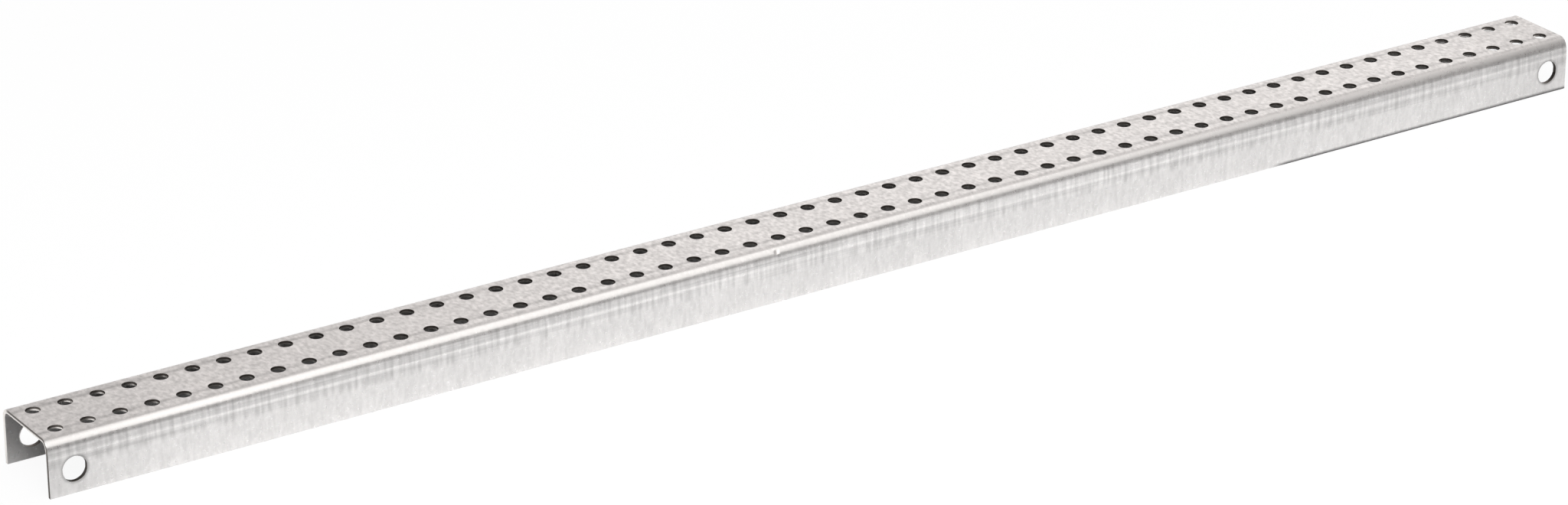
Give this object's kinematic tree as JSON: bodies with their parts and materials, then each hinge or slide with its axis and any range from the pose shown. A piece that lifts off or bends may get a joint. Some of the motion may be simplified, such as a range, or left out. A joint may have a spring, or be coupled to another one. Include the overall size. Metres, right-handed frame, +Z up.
{
  "type": "enclosure cross rail",
  "caption": "Folded channel of zinc-coated steel sheet with rows of round holes along its web and a larger hole through both flanges near each end, for carrying equipment in an enclosure.",
  "frame": {"origin": "at mid-length, halfway between the flanges, level with their lower edges", "axes": "+X along the rail, +Y across it from the front flange to the back flange, +Z up through the web"},
  "size_m": [0.69, 0.035, 0.022],
  "materials": {
    "galvanised_sheet": "pre-galvanised sheet, satin grey with fine mottling and rolling marks"
  },
  "bodies": {
    "root": {"cross_rail": "galvanised_sheet"}
  },
  "joints": []
}
